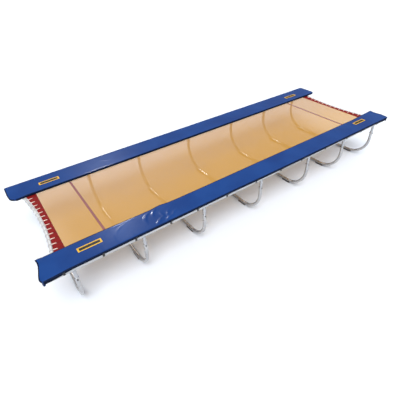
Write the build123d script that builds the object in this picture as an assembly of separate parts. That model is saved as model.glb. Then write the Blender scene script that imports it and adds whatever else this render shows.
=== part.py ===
from build123d import *
import os
from math import asin, cos, degrees, radians, sin, sqrt

# Tumbling track: a jumping bed six metres long, hung in a low frame on seven U-shaped hoops.
# Millimetres. X runs along the track, Y across it, Z up. The origin is on the floor, in the middle.
# "near" is the -Y side, "far" the +Y side, "left" the -X end, "right" the +X end.
# Every shape is built once, on the far side or at the right end, and mirrored to the others.

# ---- driving dimensions ----
TRACK_LENGTH = 5980.0        # over the pads
TRACK_WIDTH = 2000.0         # over the pads
TRACK_HEIGHT = 740.0         # floor to the top of the pads

PAD_WIDTH, PAD_THICKNESS = 342.0, 26.0
COVER_SKIN, UNDERSIDE_SKIN, FOAM_GAP, COVER_EDGE = 2.0, 1.5, 0.2, 5.0
FLAP_DROP, FLAP_WIDTH, FLAP_RETURN = 48.0, 95.0, 22.0
LABEL_LENGTH, LABEL_WIDTH, LABEL_THICKNESS = 280.0, 72.0, 0.8
LABEL_X, LABEL_Y = 2457.0, 798.0

RAIL_HEIGHT, RAIL_WIDTH, RAIL_WALL, RAIL_CORNER = 60.0, 40.0, 3.0, 5.0
RAIL_HALF_LENGTH = 2960.0
RAIL_Y = 940.0               # centre line of each rail
RAIL_TOP = 706.0
PLUG_DEPTH, PLUG_HEAD, PLUG_GAP = 20.0, 4.0, 0.2

HOOP_POSITIONS = [-2712.0, -1878.0, -1005.0, 0.0, 1005.0, 1878.0, 2712.0]
HOOP_DIAMETER, HOOP_WALL = 48.3, 2.6
HOOP_CORNER_RADIUS = 355.0
HOOP_TOP = 528.0             # open ends of the hoops
STUB_DIAMETER, STUB_WALL, STUB_INSERTION = 42.4, 2.6, 90.0
HOOP_BOLT_DROP, HOOP_BOLT_DIAMETER, HOOP_BOLT_REACH = 25.0, 10.0, 12.0
BOLT_HEAD_RADIUS, BOLT_HEAD_HEIGHT, BOLT_HEAD_ROUND = 9.5, 6.0, 3.0
NUT_HALF_WIDTH, NUT_HEIGHT = 8.5, 8.0
BOLT_CLEARANCE, SNUG_FIT = 0.3, 0.05
FOOT_SOLE, FOOT_WIDTH = 6.0, 50.0
FOOT_INNER_Y, FOOT_OUTER_Y = 500.0, 652.0

END_TUBE_DIAMETER, END_TUBE_WALL = 40.0, 2.5
END_TUBE_MIDDLE_X = 2784.0   # where the bowed tube comes nearest the middle of the track
END_TUBE_BOW = 3900.0        # radius of its bow
END_TUBE_Z = 685.0
FLANGE_THICKNESS, FLANGE_LENGTH, FLANGE_CORNER = 5.0, 110.0, 8.0
FLANGE_ABOVE, FLANGE_BELOW = 19.0, 23.0
WASHER_RADIUS, WASHER_THICKNESS, HEXAGON_HALF_WIDTH, HEXAGON_HEIGHT = 8.0, 1.6, 6.5, 5.5
FLANGE_BOLT_OFFSET, FLANGE_BOLT_DIAMETER, FLANGE_BOLT_REACH = 40.0, 8.0, 18.0

BED_TOP, BED_THICKNESS = 704.0, 3.0
BED_HALF_LENGTH, BED_HALF_WIDTH = 2685.0, 700.0
HEM_INNER_Y, HEM_THICKNESS, HEM_HALF_LENGTH = 640.0, 1.5, 2665.0
LINE_X, LINE_WIDTH, LINE_THICKNESS = 2217.0, 30.0, 0.6
BAND_THICKNESS, BAND_HALF_WIDTH, BAND_GAP = 2.0, 730.0, 2.0

ROD_DIAMETER = 8.0
ROD_Y, SIDE_ROD_HALF_LENGTH, END_ROD_INSET = 765.0, 2645.0, 20.0
END_ROD_SETBACK = 63.0       # end rod behind the end tube's centre line
BAR_DIAMETER, BAR_Y, BAR_Z, BAR_HALF_LENGTH = 12.0, 896.0, 696.0, 2610.0
LUG_FIRST_X, LUG_SPACING, LUG_COUNT, LUG_THICKNESS = 142.5, 475.0, 6, 6.0
LUG_REACH, LUG_ABOVE, LUG_BELOW = 11.0, 10.0, 12.0      # round the lacing bar's centre
LOOP_SPACING, SIDE_LOOPS, END_LOOPS = 95.0, 55, 15
LOOP_WIDTH, LOOP_THICKNESS, LOOP_FIT = 14.0, 4.0, 0.3
NOTCH_WIDTH, NOTCH_MARGIN = 20.0, 10.0

STRAP_WIDTH, STRAP_THICKNESS = 25.0, 2.0
# The straps are about 470 apart, each moved off the nearest leg.
STRAP_POSITIONS = [-2810, -2375, -1980, -1510, -1115, -640, -120, 370, 815, 1370, 1925, 2320, 2790]

# ---- worked out from them ----
PAD_BOTTOM = TRACK_HEIGHT - PAD_THICKNESS
PAD_OUTER_Y, PAD_HALF_LENGTH = TRACK_WIDTH / 2, TRACK_LENGTH / 2
PAD_INNER_Y = PAD_OUTER_Y - PAD_WIDTH
RAIL_BOTTOM = RAIL_TOP - RAIL_HEIGHT
RAIL_INNER_Y, RAIL_OUTER_Y = RAIL_Y - RAIL_WIDTH / 2, RAIL_Y + RAIL_WIDTH / 2
HOOP_FLAT_Z = FOOT_SOLE + HOOP_DIAMETER / 2
HOOP_CORNER_Z = HOOP_FLAT_Z + HOOP_CORNER_RADIUS
HOOP_CORNER_Y = RAIL_Y - HOOP_CORNER_RADIUS
HOOP_BOLT_Z = HOOP_TOP - HOOP_BOLT_DROP
BOW_CENTRE_X = END_TUBE_MIDDLE_X + END_TUBE_BOW
FLANGE_FACE_Y = RAIL_INNER_Y - FLANGE_THICKNESS
FLANGE_X = BOW_CENTRE_X - sqrt(END_TUBE_BOW ** 2 - FLANGE_FACE_Y ** 2)
BED_BOTTOM = BED_TOP - BED_THICKNESS
POCKET_RADIUS = ROD_DIAMETER / 2 + LOOP_FIT + HEM_THICKNESS
SIDE_ROD_Z = BED_TOP + HEM_THICKNESS - POCKET_RADIUS
END_ROD_BOW = END_TUBE_BOW + END_ROD_SETBACK
END_ROD_Z = BED_BOTTOM - ROD_DIAMETER / 2 - LOOP_FIT

SIDES = {"near": -1, "far": 1}
ENDS = {"left": -1, "right": 1}


# ---- helpers ----

def save(name, shapes):
    """Write one sub-part, a single solid or a group of separate ones."""
    solids = [solid for shape in shapes for solid in shape.solids()]
    export_step(solids[0] if len(solids) == 1 else Compound(solids), f"parts/{name}.step")


def block(x0, x1, y0, y1, z0, z1):
    """Box between two corners."""
    return Pos(x0, y0, z0) * Box(x1 - x0, y1 - y0, z1 - z0, align=(Align.MIN, Align.MIN, Align.MIN))


def bar(start, end, diameter):
    """Round bar from one point to another."""
    line = Vector(*end) - Vector(*start)
    return extrude(Plane(origin=start, z_dir=line) * Circle(diameter / 2), line.length)


def at_side(shape, side):
    """A far side shape, or its mirror image on the near side."""
    return shape if side > 0 else mirror(shape, Plane.XZ)


def at_end(shape, end):
    """A right end shape, or its mirror image at the left end."""
    return shape if end > 0 else mirror(shape, Plane.YZ)


def stations(count):
    """Evenly spaced lacing places, centred on zero."""
    return [(i - (count - 1) / 2) * LOOP_SPACING for i in range(count)]


def bow_angles():
    """Angles of the end loops about the centre of the end tube's bow, in degrees."""
    return [degrees(place / END_TUBE_BOW) for place in stations(END_LOOPS)]


def about_bow(angle):
    """Turn about the vertical axis through the centre of the right end tube's bow."""
    return Pos(BOW_CENTRE_X, 0, 0) * Rot(0, 0, angle) * Pos(-BOW_CENTRE_X, 0, 0)


def bowed_bar(section, bow, half_width, z):
    """Section swept along an arc about the bow's centre, cut square at both sides."""
    half_angle = degrees(asin(half_width / bow)) + 1
    ring = revolve(Plane.XZ * Pos(-bow, 0) * section, Axis.Z, revolution_arc=2 * half_angle)
    ring = Pos(BOW_CENTRE_X, 0, z) * Rot(0, 0, -half_angle) * ring
    return ring & block(0, TRACK_LENGTH, -half_width, half_width, 0, TRACK_HEIGHT)


# ---- frame ----

def flange_hole(offset):
    """Cutter for one flange bolt, through the flange and the rail's inner wall."""
    x = FLANGE_X + offset
    return bar((x, FLANGE_FACE_Y - 1, END_TUBE_Z), (x, RAIL_INNER_Y + RAIL_WALL + 1, END_TUBE_Z),
               FLANGE_BOLT_DIAMETER + 2 * BOLT_CLEARANCE)


def side_rail():
    """Rectangular tube along the far side, with the flange bolts' holes at its right end."""
    half = RAIL_HALF_LENGTH
    outer = fillet(block(-half, half, RAIL_INNER_Y, RAIL_OUTER_Y, RAIL_BOTTOM, RAIL_TOP)
                   .edges().filter_by(Axis.X), RAIL_CORNER)
    wall = RAIL_WALL
    rail = outer - block(-half, half, RAIL_INNER_Y + wall, RAIL_OUTER_Y - wall,
                         RAIL_BOTTOM + wall, RAIL_TOP - wall)
    for offset in (-FLANGE_BOLT_OFFSET, FLANGE_BOLT_OFFSET):
        rail = rail - flange_hole(offset) - mirror(flange_hole(offset), Plane.YZ)
    return rail


def rail_plug():
    """Plug in the right end of the far rail: a head outside and a body in the bore."""
    inset = RAIL_WALL + PLUG_GAP
    end = RAIL_HALF_LENGTH
    head = block(end, end + PLUG_HEAD, RAIL_INNER_Y, RAIL_OUTER_Y, RAIL_BOTTOM, RAIL_TOP)
    head = fillet(head.edges().filter_by(Axis.X), RAIL_CORNER)
    body = block(end - PLUG_DEPTH, end, RAIL_INNER_Y + inset, RAIL_OUTER_Y - inset,
                 RAIL_BOTTOM + inset, RAIL_TOP - inset)
    return head + body


def end_tube():
    """Round tube across the right end, bowed towards the middle of the track."""
    ring = Circle(END_TUBE_DIAMETER / 2) - Circle(END_TUBE_DIAMETER / 2 - END_TUBE_WALL)
    return bowed_bar(ring, END_TUBE_BOW, FLANGE_FACE_Y, END_TUBE_Z)


def end_flange():
    """Plate that joins the right end tube to the far rail."""
    plate = block(FLANGE_X - FLANGE_LENGTH / 2, FLANGE_X + FLANGE_LENGTH / 2, FLANGE_FACE_Y,
                  RAIL_INNER_Y, END_TUBE_Z - FLANGE_BELOW, END_TUBE_Z + FLANGE_ABOVE)
    plate = fillet(plate.edges().filter_by(Axis.Y), FLANGE_CORNER)
    for offset in (-FLANGE_BOLT_OFFSET, FLANGE_BOLT_OFFSET):
        plate -= flange_hole(offset)
    return plate


def flange_bolt(offset):
    """Hexagon bolt with a washer that holds the flange to the rail's inner wall."""
    x = FLANGE_X + offset
    face = Plane(origin=(x, FLANGE_FACE_Y, END_TUBE_Z), z_dir=(0, -1, 0))
    bolt = extrude(face * Circle(WASHER_RADIUS), WASHER_THICKNESS)
    hexagon = RegularPolygon(HEXAGON_HALF_WIDTH, 6, major_radius=False)
    bolt += extrude(face.offset(WASHER_THICKNESS) * hexagon, HEXAGON_HEIGHT)
    shank_end = (x, FLANGE_FACE_Y + FLANGE_BOLT_REACH, END_TUBE_Z)
    return bolt + bar((x, FLANGE_FACE_Y, END_TUBE_Z), shank_end, FLANGE_BOLT_DIAMETER)


def hoop_bolt_hole():
    reach = HOOP_DIAMETER
    return bar((0, RAIL_Y - reach, HOOP_BOLT_Z), (0, RAIL_Y + reach, HOOP_BOLT_Z),
               HOOP_BOLT_DIAMETER + 2 * BOLT_CLEARANCE)


def leg_stub():
    """Straight tube welded under the far rail; the hoop's open end slides over it."""
    foot, top = (0, RAIL_Y, HOOP_TOP - STUB_INSERTION), (0, RAIL_Y, RAIL_BOTTOM)
    tube = bar(foot, top, STUB_DIAMETER) - bar(foot, top, STUB_DIAMETER - 2 * STUB_WALL)
    return tube - hoop_bolt_hole()


def hoop_corner_point(angle):
    """Point on the corner's centre line, from the flat run (0) to the leg (90)."""
    turn = radians(angle)
    return (0, HOOP_CORNER_Y + HOOP_CORNER_RADIUS * sin(turn),
            HOOP_CORNER_Z - HOOP_CORNER_RADIUS * cos(turn))


def hoop_run(start_y, corner_angle):
    """Centre line of the far half: the flat run from start_y, then part of the corner."""
    flat = Line((0, start_y, HOOP_FLAT_Z), hoop_corner_point(0))
    corner = ThreePointArc(hoop_corner_point(0), hoop_corner_point(corner_angle / 2),
                           hoop_corner_point(corner_angle))
    return flat, corner


def floor_hoop():
    """U-shaped tube from one side's stub down to the floor and up to the other side's stub."""
    flat, corner = hoop_run(0, 90)
    leg = Line(hoop_corner_point(90), (0, RAIL_Y, HOOP_TOP))
    ring = Circle(HOOP_DIAMETER / 2) - Circle(HOOP_DIAMETER / 2 - HOOP_WALL)
    across = Plane(origin=(0, 0, HOOP_FLAT_Z), x_dir=(1, 0, 0), z_dir=(0, 1, 0))
    half = sweep(across * ring, path=flat + corner + leg) - hoop_bolt_hole()
    return half + mirror(half, Plane.XZ)


def hoop_bolt():
    """Button-headed bolt through hoop and stub, its head on the outer side."""
    outside = RAIL_Y + HOOP_DIAMETER / 2
    inside = RAIL_Y - HOOP_DIAMETER / 2 - HOOP_BOLT_REACH
    shank = bar((0, inside, HOOP_BOLT_Z), (0, outside, HOOP_BOLT_Z), HOOP_BOLT_DIAMETER)
    face = Plane(origin=(0, outside, HOOP_BOLT_Z), z_dir=(0, 1, 0))
    head = extrude(face * Circle(BOLT_HEAD_RADIUS), BOLT_HEAD_HEIGHT)
    return shank + fillet(head.edges().sort_by(Axis.Y)[-1], BOLT_HEAD_ROUND)


def hoop_nut():
    """Nut on the inner end of the hoop bolt."""
    face = Plane(origin=(0, RAIL_Y - HOOP_DIAMETER / 2, HOOP_BOLT_Z), z_dir=(0, -1, 0))
    hexagon = RegularPolygon(NUT_HALF_WIDTH, 6, major_radius=False)
    return extrude(face * (hexagon - Circle(HOOP_BOLT_DIAMETER / 2 + SNUG_FIT)), NUT_HEIGHT)


def rubber_foot():
    """Saddle under the hoop's floor run, following the start of the corner."""
    corner_angle = degrees(asin((FOOT_OUTER_Y - HOOP_CORNER_Y) / HOOP_CORNER_RADIUS))
    flat, corner = hoop_run(FOOT_INNER_Y, corner_angle)
    saddle = Pos(0, HOOP_FLAT_Z / 2) * Rectangle(FOOT_WIDTH, HOOP_FLAT_Z)
    saddle -= Circle(HOOP_DIAMETER / 2 + SNUG_FIT)
    # The section's own Y axis points down.
    across = Plane(origin=(0, FOOT_INNER_Y, HOOP_FLAT_Z), x_dir=(1, 0, 0), z_dir=(0, 1, 0))
    return sweep(across * saddle, path=flat + corner)


def bar_lug(x):
    """Plate on the far rail's inner face that holds the lacing bar."""
    plate = block(x - LUG_THICKNESS / 2, x + LUG_THICKNESS / 2, BAR_Y - LUG_REACH, RAIL_INNER_Y,
                  BAR_Z - LUG_BELOW, BAR_Z + LUG_ABOVE)
    bore = BAR_DIAMETER + 2 * SNUG_FIT
    return plate - bar((x - LUG_THICKNESS, BAR_Y, BAR_Z), (x + LUG_THICKNESS, BAR_Y, BAR_Z), bore)


def lug_places():
    right = [LUG_FIRST_X + i * LUG_SPACING for i in range(LUG_COUNT)]
    return [-x for x in reversed(right)] + right


def pad_strap(x):
    """Webbing closed round the far rail, under the pad."""
    half, skin = STRAP_WIDTH / 2, STRAP_THICKNESS
    outer = block(x - half, x + half, RAIL_INNER_Y - skin, RAIL_OUTER_Y + skin,
                  RAIL_BOTTOM - skin, RAIL_TOP + skin)
    inner = block(x - half, x + half, RAIL_INNER_Y, RAIL_OUTER_Y, RAIL_BOTTOM, RAIL_TOP)
    outer = fillet(outer.edges().filter_by(Axis.X), RAIL_CORNER + skin)
    return outer - fillet(inner.edges().filter_by(Axis.X), RAIL_CORNER)


# ---- lacing ----

def belt(anchor_radius, rod_radius, across, rise):
    """Flat rubber loop round an anchor at (0, 0) and a rod at (-across, rise), in the XZ plane."""
    def outline(extra):
        rounds = Circle(anchor_radius + extra) + Pos(-across, rise) * Circle(rod_radius + extra)
        return make_hull(rounds.edges())
    section = outline(LOOP_FIT + LOOP_THICKNESS) - outline(LOOP_FIT)
    return extrude(Plane.XZ * section, LOOP_WIDTH / 2, both=True)


def end_loops():
    """Loops round the right end tube and the rod under the right band."""
    loop = belt(END_TUBE_DIAMETER / 2, ROD_DIAMETER / 2, END_ROD_SETBACK, END_ROD_Z - END_TUBE_Z)
    loop = Pos(END_TUBE_MIDDLE_X, 0, END_TUBE_Z) * loop
    return [about_bow(angle) * loop for angle in bow_angles()]


def side_loops():
    """Loops round the far lacing bar and the far hem rod."""
    loop = belt(BAR_DIAMETER / 2, ROD_DIAMETER / 2, BAR_Y - ROD_Y, SIDE_ROD_Z - BAR_Z)
    loop = Rot(0, 0, 90) * loop
    return [Pos(x, BAR_Y, BAR_Z) * loop for x in stations(SIDE_LOOPS)]


# ---- bed ----

def jumping_bed():
    length, width = BED_HALF_LENGTH, BED_HALF_WIDTH
    return block(-length, length, -width, width, BED_BOTTOM, BED_TOP)


def marking_line():
    """Line across the bed near the right end."""
    return block(LINE_X - LINE_WIDTH / 2, LINE_X + LINE_WIDTH / 2, -HEM_INNER_Y, HEM_INNER_Y,
                 BED_TOP, BED_TOP + LINE_THICKNESS)


def edge_hem():
    """Webbing on the bed's far edge, folded into a pocket for the rod, notched at every loop."""
    half = HEM_HALF_LENGTH
    strip = block(-half, half, HEM_INNER_Y, ROD_Y, BED_TOP, BED_TOP + HEM_THICKNESS)
    ends = (-half, ROD_Y, SIDE_ROD_Z), (half, ROD_Y, SIDE_ROD_Z)
    pocket = bar(*ends, 2 * POCKET_RADIUS)
    bore = bar(*ends, ROD_DIAMETER + 2 * LOOP_FIT)
    hem = strip + pocket - bore
    reach = POCKET_RADIUS + 1
    for x in stations(SIDE_LOOPS):
        hem -= block(x - NOTCH_WIDTH / 2, x + NOTCH_WIDTH / 2, ROD_Y - NOTCH_MARGIN, ROD_Y + reach,
                     SIDE_ROD_Z - reach, SIDE_ROD_Z + reach)
    return hem


def end_band():
    """Red band at the right end: straight inner edge, bowed outer edge, notched at every loop."""
    inner, outer_bow = BED_HALF_LENGTH, END_TUBE_BOW + END_TUBE_DIAMETER / 2 + BAND_GAP
    length = FLANGE_X - inner
    outline = Pos(inner + length / 2, 0) * Rectangle(length, 2 * BAND_HALF_WIDTH)
    outline -= Pos(BOW_CENTRE_X, 0) * Circle(outer_bow)
    depth = END_ROD_BOW + NOTCH_MARGIN - outer_bow
    notch = Rectangle(2 * depth, NOTCH_WIDTH)
    for angle in bow_angles():
        outline -= about_bow(angle) * Pos(BOW_CENTRE_X - outer_bow, 0) * notch
    return extrude(Pos(0, 0, BED_BOTTOM) * outline, BAND_THICKNESS)


def end_rod():
    """Rod under the right band that the end loops pull on."""
    return bowed_bar(Circle(ROD_DIAMETER / 2), END_ROD_BOW, BAND_HALF_WIDTH - END_ROD_INSET, END_ROD_Z)


# ---- pads ----

def pad_box(inset, z0, z1):
    half = PAD_HALF_LENGTH - inset
    return block(-half, half, PAD_INNER_Y + inset, PAD_OUTER_Y - inset, z0, z1)


def pad_cover():
    """Vinyl over the top and the four sides, open below."""
    floor = PAD_BOTTOM + UNDERSIDE_SKIN
    outer = pad_box(0, floor, TRACK_HEIGHT)
    outer = fillet(outer.edges().group_by(Axis.Z)[-1], COVER_EDGE)
    return outer - pad_box(COVER_SKIN, floor, TRACK_HEIGHT - COVER_SKIN)


def pad_foam():
    inset = COVER_SKIN + FOAM_GAP
    return pad_box(inset, PAD_BOTTOM + UNDERSIDE_SKIN + FOAM_GAP, TRACK_HEIGHT - inset)


def pad_underside():
    return pad_box(0, PAD_BOTTOM, PAD_BOTTOM + UNDERSIDE_SKIN)


def corner_flap():
    """Turned-down pocket at the far pad's right outer corner, beyond the rail's end."""
    x1, y1, z0 = PAD_HALF_LENGTH, PAD_OUTER_Y, PAD_BOTTOM - FLAP_DROP
    end = block(x1 - COVER_SKIN, x1, y1 - FLAP_WIDTH, y1, z0, PAD_BOTTOM)
    return end + block(x1 - FLAP_RETURN, x1, y1 - COVER_SKIN, y1, z0, PAD_BOTTOM)


def pad_label():
    x0, y0 = LABEL_X - LABEL_LENGTH / 2, LABEL_Y - LABEL_WIDTH / 2
    top = TRACK_HEIGHT + LABEL_THICKNESS
    return block(x0, x0 + LABEL_LENGTH, y0, y0 + LABEL_WIDTH, TRACK_HEIGHT, top)


# ---- write every sub-part ----

def save_each_side(name, shapes):
    for side, sign in SIDES.items():
        save(f"{side}_{name}", [at_side(shape, sign) for shape in shapes])


def save_each_end(name, shapes):
    for end, sign in ENDS.items():
        save(f"{end}_{name}", [at_end(shape, sign) for shape in shapes])


def four_corners(shape):
    """A shape at the right end of the far side, and its three mirror images."""
    return [at_end(at_side(shape, side), end) for side in SIDES.values() for end in ENDS.values()]


def two_ends(shape):
    return [at_end(shape, end) for end in ENDS.values()]


def at_hoops(shape):
    """Copies of a leg's shape at every hoop, on both sides."""
    return [Pos(x, 0, 0) * at_side(shape, side) for side in SIDES.values() for x in HOOP_POSITIONS]


def write_frame():
    save_each_side("side_rail", [side_rail()])
    save("rail_plugs", four_corners(rail_plug()))
    save_each_end("end_tube", [end_tube()])
    save("end_tube_flanges", four_corners(end_flange()))
    offsets = (-FLANGE_BOLT_OFFSET, FLANGE_BOLT_OFFSET)
    save("flange_bolts", [bolt for offset in offsets for bolt in four_corners(flange_bolt(offset))])
    stub = leg_stub()
    save_each_side("leg_stubs", [Pos(x, 0, 0) * stub for x in HOOP_POSITIONS])
    hoop = floor_hoop()
    for number, x in enumerate(HOOP_POSITIONS, start=1):
        save(f"floor_hoop_{number}", [Pos(x, 0, 0) * hoop])
    save("hoop_bolts", at_hoops(hoop_bolt()))
    save("hoop_nuts", at_hoops(hoop_nut()))
    save("rubber_feet", at_hoops(rubber_foot()))
    ends = (-BAR_HALF_LENGTH, BAR_Y, BAR_Z), (BAR_HALF_LENGTH, BAR_Y, BAR_Z)
    save_each_side("lacing_bar", [bar(*ends, BAR_DIAMETER)])
    save_each_side("bar_lugs", [bar_lug(x) for x in lug_places()])
    save_each_side("pad_straps", [pad_strap(x) for x in STRAP_POSITIONS])


def write_bed():
    save("jumping_bed", [jumping_bed()])
    save_each_end("marking_line", [marking_line()])
    save_each_end("end_band", [end_band()])
    save_each_end("end_rod", [end_rod()])
    save_each_side("edge_hem", [edge_hem()])
    ends = (-SIDE_ROD_HALF_LENGTH, ROD_Y, SIDE_ROD_Z), (SIDE_ROD_HALF_LENGTH, ROD_Y, SIDE_ROD_Z)
    save_each_side("hem_rod", [bar(*ends, ROD_DIAMETER)])
    save_each_side("side_loops", side_loops())
    save_each_end("end_loops", end_loops())


def write_pads():
    save_each_side("pad_cover", [pad_cover()])
    save_each_side("pad_foam", [pad_foam()])
    save_each_side("pad_underside", [pad_underside()])
    save_each_side("pad_corner_flaps", two_ends(corner_flap()))
    save_each_side("pad_labels", two_ends(pad_label()))


os.makedirs("parts", exist_ok=True)
write_frame()
write_bed()
write_pads()
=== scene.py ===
from math import acos, atan2, cos, exp, pi, radians, sin, sqrt

import bpy
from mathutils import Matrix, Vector, noise


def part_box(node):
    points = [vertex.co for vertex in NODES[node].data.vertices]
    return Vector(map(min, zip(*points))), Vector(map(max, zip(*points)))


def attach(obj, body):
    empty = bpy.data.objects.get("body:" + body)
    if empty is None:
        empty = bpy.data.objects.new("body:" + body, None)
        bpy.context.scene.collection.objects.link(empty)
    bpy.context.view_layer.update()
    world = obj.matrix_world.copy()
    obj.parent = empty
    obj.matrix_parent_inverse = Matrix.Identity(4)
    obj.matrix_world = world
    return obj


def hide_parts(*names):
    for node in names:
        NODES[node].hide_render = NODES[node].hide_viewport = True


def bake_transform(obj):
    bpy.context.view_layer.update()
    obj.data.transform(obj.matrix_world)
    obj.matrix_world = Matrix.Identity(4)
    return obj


# A gymnastics tumbling track: a translucent jumping bed between two padded rails, on seven floor hoops.
# Metres. X runs along the track, Y across it (near side -Y), Z up, with the origin on the floor.
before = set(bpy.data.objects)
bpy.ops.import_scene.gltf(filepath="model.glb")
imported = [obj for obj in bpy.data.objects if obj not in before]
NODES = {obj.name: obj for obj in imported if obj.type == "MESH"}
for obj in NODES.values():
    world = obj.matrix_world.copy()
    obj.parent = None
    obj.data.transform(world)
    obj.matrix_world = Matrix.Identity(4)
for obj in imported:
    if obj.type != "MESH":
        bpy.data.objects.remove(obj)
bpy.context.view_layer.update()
NEAR, FAR = -1, 1
SIDES = {"near": NEAR, "far": FAR}
ENDS = {"left": -1, "right": 1}

# ---- places read from the frame ----
PAD_LO, PAD_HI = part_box("far_pad_cover")
UNDER_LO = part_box("far_pad_underside")[0]
BED_LO, BED_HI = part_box("jumping_bed")
HEM_LO, HEM_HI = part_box("far_edge_hem")
HEM_ROD_LO, HEM_ROD_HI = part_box("far_hem_rod")
BAR_LO, BAR_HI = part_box("far_lacing_bar")
RAIL_LO, RAIL_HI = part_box("far_side_rail")
LINE_LO, LINE_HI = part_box("right_marking_line")
BAND_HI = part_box("right_end_band")[1]
TUBE_LO, TUBE_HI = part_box("right_end_tube")
END_ROD_LO, END_ROD_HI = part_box("right_end_rod")
LABEL_LO, LABEL_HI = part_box("far_pad_labels")
FLAP_LO, FLAP_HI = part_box("far_pad_corner_flaps")

PAD_TOP, PAD_BOTTOM = PAD_HI.z, UNDER_LO.z
PAD_INNER_Y, PAD_OUTER_Y = PAD_LO.y, PAD_HI.y
PAD_HALF_LENGTH = PAD_HI.x
BED_Z = BED_HI.z
HEM_ROD_RADIUS = (HEM_ROD_HI.z - HEM_ROD_LO.z) / 2
HEM_ROD_Y, HEM_ROD_Z = (HEM_ROD_LO.y + HEM_ROD_HI.y) / 2, (HEM_ROD_LO.z + HEM_ROD_HI.z) / 2
BAR_RADIUS = (BAR_HI.z - BAR_LO.z) / 2
BAR_Y, BAR_Z = (BAR_LO.y + BAR_HI.y) / 2, (BAR_LO.z + BAR_HI.z) / 2
LINE_X = (LINE_LO.x + LINE_HI.x) / 2
TUBE_RADIUS = (TUBE_HI.z - TUBE_LO.z) / 2
TUBE_Z = (TUBE_LO.z + TUBE_HI.z) / 2
TUBE_X = TUBE_LO.x + TUBE_RADIUS
END_ROD_RADIUS = (END_ROD_HI.z - END_ROD_LO.z) / 2
END_ROD_Z = (END_ROD_LO.z + END_ROD_HI.z) / 2
END_ROD_X = END_ROD_LO.x + END_ROD_RADIUS

# ---- sizes of what is made here ----
BOW = 3.9                    # radius of the end tube's bow
BOW_CENTRE = TUBE_X + BOW    # distance of its centre from the middle of the track
LOOP_SPACING, SIDE_LOOPS, END_LOOPS = 0.095, 55, 15
LOOP_WIDTH, LOOP_THICKNESS = 0.012, 0.003
LOOP_FIT = 0.0003            # gap between a loop and the bars it goes round
LOOP_EDGE = 0.0012           # bevel of its edges
NOTCH_WIDTH, NOTCH_MARGIN = 0.015, 0.010      # the openings for the loops, along and past the rods
STRAP_PLACES = [-2.81, -2.375, -1.98, -1.51, -1.115, -0.64, -0.12,
                0.37, 0.815, 1.37, 1.925, 2.32, 2.79]
STRAP_WIDTH = 0.025
STRAP_SKIN = 0.002           # how far a strap stands off its rail
LABEL_LENGTH = 0.28

# ---- camera, lights and floor ----
CAMERA_PLACE = (-2.881, -3.657, 3.331)
CAMERA_TURN = (52.09, 2.13, -35.45)      # degrees
CAMERA_LENS = 29.83                      # millimetres, on a 36 mm sensor
SUN_PLACE, SUN_STRENGTH, SUN_SPREAD = (-2.0, -3.8, 7.0), 2.5, 36      # the spread in degrees
GLOSS_PLACE, GLOSS_POWER, GLOSS_SIZE = (-0.5, 4.9, 4.6), 170, 0.8
LAMP_TARGET = (0, 0, 0.4)
SKY_STRENGTH = 0.86
FLOOR_HALF = 200.0


# ---------------------------------------------------------------- materials

def set_inputs(node, values):
    for name, value in values.items():
        node.inputs[name].default_value = value


class Shader:
    """A Principled material and short calls that add nodes to it."""

    def __init__(self, name, colour, **inputs):
        self.material = bpy.data.materials.new(name)
        self.material.use_nodes = True
        self.tree = self.material.node_tree
        self.bsdf = self.tree.nodes["Principled BSDF"]
        self.bsdf.inputs["Base Color"].default_value = (*colour, 1)
        set_inputs(self.bsdf, inputs)
        self.place = self.add("ShaderNodeTexCoord").outputs["Object"]
        self.bump_height = None

    def add(self, kind, **inputs):
        node = self.tree.nodes.new(kind)
        set_inputs(node, inputs)
        return node

    def link(self, output, node, name):
        self.tree.links.new(output, node.inputs[name])

    def stretched(self, scale):
        """The object's coordinates times a scale for each axis."""
        mapping = self.add("ShaderNodeMapping", Scale=scale)
        self.link(self.place, mapping, "Vector")
        return mapping.outputs["Vector"]

    def noise(self, scale, detail=3.0, stretch=None):
        node = self.add("ShaderNodeTexNoise", Scale=scale, Detail=detail)
        self.link(self.stretched(stretch) if stretch else self.place, node, "Vector")
        return node.outputs["Fac"]

    def cells(self, scale):
        node = self.add("ShaderNodeTexVoronoi", Scale=scale)
        self.link(self.place, node, "Vector")
        return node.outputs["Distance"]

    def ribs(self, axis, pitch, profile="SIN"):
        """Stripes across one axis, one every pitch metres, from 0 to 1."""
        node = self.add("ShaderNodeTexWave", Scale=2 * pi / 20 / pitch)
        node.bands_direction = axis
        node.wave_profile = profile
        self.link(self.place, node, "Vector")
        return node.outputs["Fac"]

    def maths(self, operation, first, second=0):
        node = self.add("ShaderNodeMath")
        node.operation = operation
        for socket, value in zip(node.inputs, (first, second)):
            if isinstance(value, (int, float)):
                socket.default_value = value
            else:
                self.tree.links.new(value, socket)
        return node.outputs[0]

    def ramp(self, factor, low, high, start=0.0, end=1.0):
        node = self.add("ShaderNodeValToRGB")
        first, last = node.color_ramp.elements
        first.position, last.position = start, end
        first.color, last.color = (*low, 1), (*high, 1)
        self.link(factor, node, "Fac")
        return node.outputs["Color"]

    def colour(self, factor, low, high, start=0.0, end=1.0):
        self.link(self.ramp(factor, low, high, start, end), self.bsdf, "Base Color")

    def roughness(self, factor, low, high):
        ramp = self.ramp(factor, (low,) * 3, (high,) * 3, 0.3, 0.7)
        self.link(ramp, self.bsdf, "Roughness")

    def bump(self, height, distance, strength=1.0):
        """Bump of a depth in metres; a second call adds finer detail on top."""
        node = self.add("ShaderNodeBump", Distance=distance, Strength=strength)
        self.link(height, node, "Height")
        if self.bump_height is not None:
            self.link(self.bump_height, node, "Normal")
        self.bump_height = node.outputs["Normal"]
        self.link(self.bump_height, self.bsdf, "Normal")


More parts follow.
